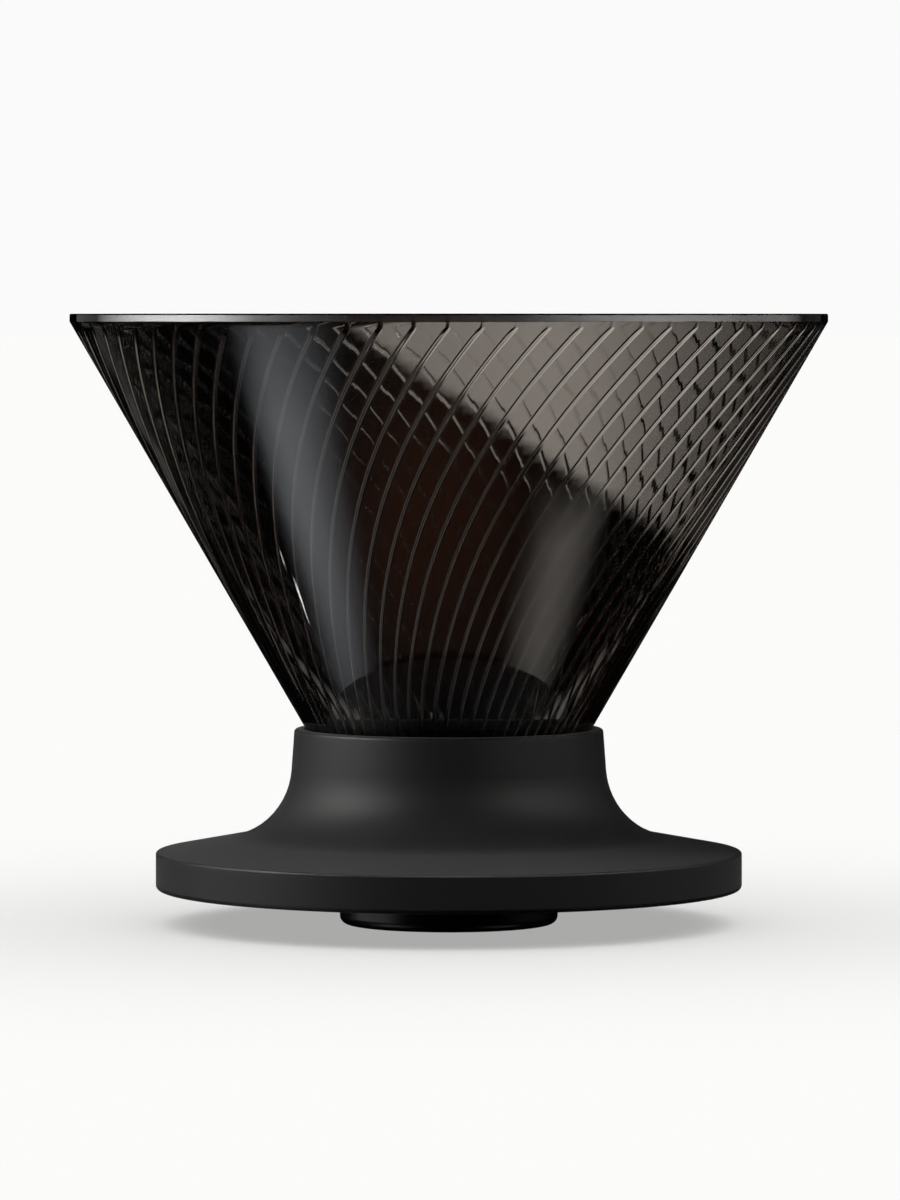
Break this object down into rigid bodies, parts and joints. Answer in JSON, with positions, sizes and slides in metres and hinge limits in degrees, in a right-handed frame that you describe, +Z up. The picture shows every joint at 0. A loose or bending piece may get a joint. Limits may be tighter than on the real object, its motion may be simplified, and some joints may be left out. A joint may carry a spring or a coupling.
{
  "type": "pour over coffee dripper",
  "caption": "Pour over coffee dripper: a smoke-tinted clear cone with spiral ribs inside, standing in a matt black flanged base with a short spigot underneath.",
  "frame": {"origin": "on the cone's axis, in the plane of the spigot's foot", "axes": "+Z up along the cone's axis towards the rim; the part is round, so +X and +Y are free"},
  "size_m": [0.116, 0.116, 0.0936],
  "materials": {
    "smoke_clear": "polished clear resin with a smoke tint",
    "matt_black": "fine spark-eroded matt",
    "core_black": "satin",
    "silicone": "matt"
  },
  "bodies": {
    "base": {"base_skirt": "matt_black", "base_core": "core_black", "neck_seal": "silicone", "spout_seal": "silicone"},
    "cone": {"dripper_cone": "smoke_clear"}
  },
  "joints": [
    {"name": "cone_lift", "type": "slide", "parent": "base", "child": "cone", "axis": [0, 0, 1], "range_m": [0, 0.045]}
  ]
}
